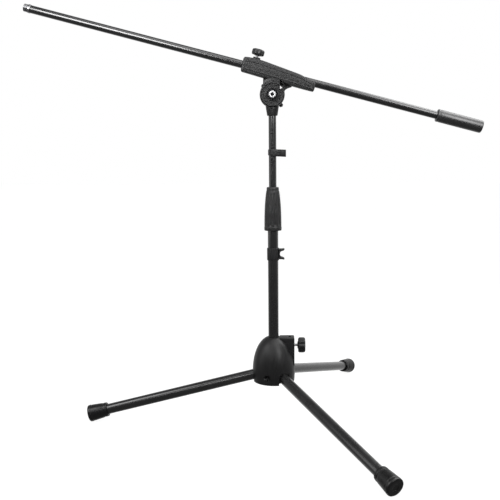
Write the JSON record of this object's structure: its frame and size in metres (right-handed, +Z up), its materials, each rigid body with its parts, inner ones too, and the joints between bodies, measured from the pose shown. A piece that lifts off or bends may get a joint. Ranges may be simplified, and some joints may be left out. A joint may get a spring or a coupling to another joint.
{
  "type": "boom microphone stand",
  "caption": "Low boom microphone stand: folding tripod base, twist-clutch telescopic pole, tilting head, and sliding boom rod with threaded tip and counterweight.",
  "frame": {"origin": "on the floor under the middle of the stand's bounding box, with the pole axis 39 mm towards +X", "axes": "+Z up; +X along the boom seen from above, from the thread tip at -X to the counterweight at +X; +Y across the boom, away from the round front disc of the tilt joint"},
  "size_m": [0.9468, 0.7242, 0.8937],
  "materials": {
    "tube": "satin black powder coat",
    "housing": "satin moulded",
    "clamp": "fine matt texture",
    "cast": "textured black",
    "rubber": "matt",
    "grip": "matt, fluted",
    "weight": "semi-gloss sleeve",
    "knob": "satin moulded",
    "nylon": "plain nylon",
    "zinc": "zinc plated",
    "chrome": "bright plated",
    "dark_steel": "blackened",
    "iron": "raw"
  },
  "bodies": {
    "base": {"base_housing": "housing", "base_lock_nut": "zinc", "base_lock_pad": "nylon", "leg_pin_1": "zinc", "leg_pin_2": "zinc", "leg_pin_3": "zinc"},
    "leg_1": {"leg_tube_1": "tube", "leg_knuckle_1": "knob", "rubber_foot_1": "rubber"},
    "leg_2": {"leg_tube_2": "tube", "leg_knuckle_2": "knob", "rubber_foot_2": "rubber"},
    "leg_3": {"leg_tube_3": "tube", "leg_knuckle_3": "knob", "rubber_foot_3": "rubber"},
    "base_lock": {"base_lock_screw": "zinc", "base_lock_knob": "knob"},
    "lower_pole": {"lower_tube": "tube", "tube_end_plug": "knob", "clutch_bush": "nylon"},
    "lower_clip": {"lower_cable_clip": "knob"},
    "grip": {"clutch_grip": "grip"},
    "collet": {"clutch_collet": "nylon"},
    "upper_pole": {"upper_tube": "tube", "tube_guide": "nylon", "swivel_head": "cast", "friction_disc": "nylon", "pivot_bolt": "chrome", "pivot_washer": "dark_steel"},
    "upper_clip": {"upper_cable_clip": "knob"},
    "handle": {"pivot_handle": "knob", "rear_washer": "zinc"},
    "clamp": {"boom_clamp_body": "clamp", "clamp_liner": "nylon", "boom_lock_nut": "zinc", "boom_lock_pad": "nylon"},
    "boom_lock": {"boom_lock_screw": "zinc", "boom_lock_knob": "knob"},
    "boom": {"boom_rod": "tube", "thread_stud": "chrome", "thread_collar": "chrome", "counterweight_core": "iron", "counterweight_sleeve": "weight"}
  },
  "joints": [
    {"name": "leg_1_fold", "type": "hinge", "parent": "base", "child": "leg_1", "pos_m": [0.009, 0, 0.1093], "axis": [0, -1, 0], "range_deg": [0, 76]},
    {"name": "leg_2_fold", "type": "hinge", "parent": "base", "child": "leg_2", "pos_m": [0.054, 0.02598, 0.1093], "axis": [-0.866, 0.5, 0], "range_deg": [0, 76]},
    {"name": "leg_3_fold", "type": "hinge", "parent": "base", "child": "leg_3", "pos_m": [0.054, -0.02598, 0.1093], "axis": [0.866, 0.5, 0], "range_deg": [0, 76]},
    {"name": "base_lock_turn", "type": "hinge", "parent": "base", "child": "base_lock", "pos_m": [0.039, 0, 0.171], "axis": [1, 0, 0], "range_deg": [0, 270]},
    {"name": "pole_slide", "type": "slide", "parent": "base", "child": "lower_pole", "axis": [0, 0, 1], "range_m": [-0.075, 0.045]},
    {"name": "lower_clip_turn", "type": "hinge", "parent": "lower_pole", "child": "lower_clip", "pos_m": [0.039, 0, 0.371], "axis": [0, 0, 1], "range_deg": [-90, 90]},
    {"name": "grip_twist", "type": "hinge", "parent": "lower_pole", "child": "grip", "pos_m": [0.039, 0, 0.46], "axis": [0, 0, 1], "range_deg": [0, 180]},
    {"name": "boom_pan", "type": "hinge", "parent": "lower_pole", "child": "collet", "pos_m": [0.039, 0, 0.48], "axis": [0, 0, 1], "continuous": true},
    {"name": "height_slide", "type": "slide", "parent": "collet", "child": "upper_pole", "axis": [0, 0, 1], "range_m": [-0.06, 0.13]},
    {"name": "upper_clip_turn", "type": "hinge", "parent": "upper_pole", "child": "upper_clip", "pos_m": [0.039, 0, 0.586], "axis": [0, 0, 1], "range_deg": [-90, 90]},
    {"name": "handle_turn", "type": "hinge", "parent": "upper_pole", "child": "handle", "pos_m": [0.039, 0.02, 0.7044], "axis": [0, 1, 0], "range_deg": [0, 270]},
    {"name": "boom_tilt", "type": "hinge", "parent": "upper_pole", "child": "clamp", "pos_m": [0.039, 0, 0.7044], "axis": [0, 1, 0], "range_deg": [-90, 52]},
    {"name": "boom_lock_turn", "type": "hinge", "parent": "clamp", "child": "boom_lock", "pos_m": [0.0106, 0, 0.78966], "axis": [0.2588, 0, 0.9659], "range_deg": [0, 270]},
    {"name": "boom_slide", "type": "slide", "parent": "clamp", "child": "boom", "axis": [-0.9659, 0, 0.2588], "range_m": [-0.42, 0.25]}
  ]
}
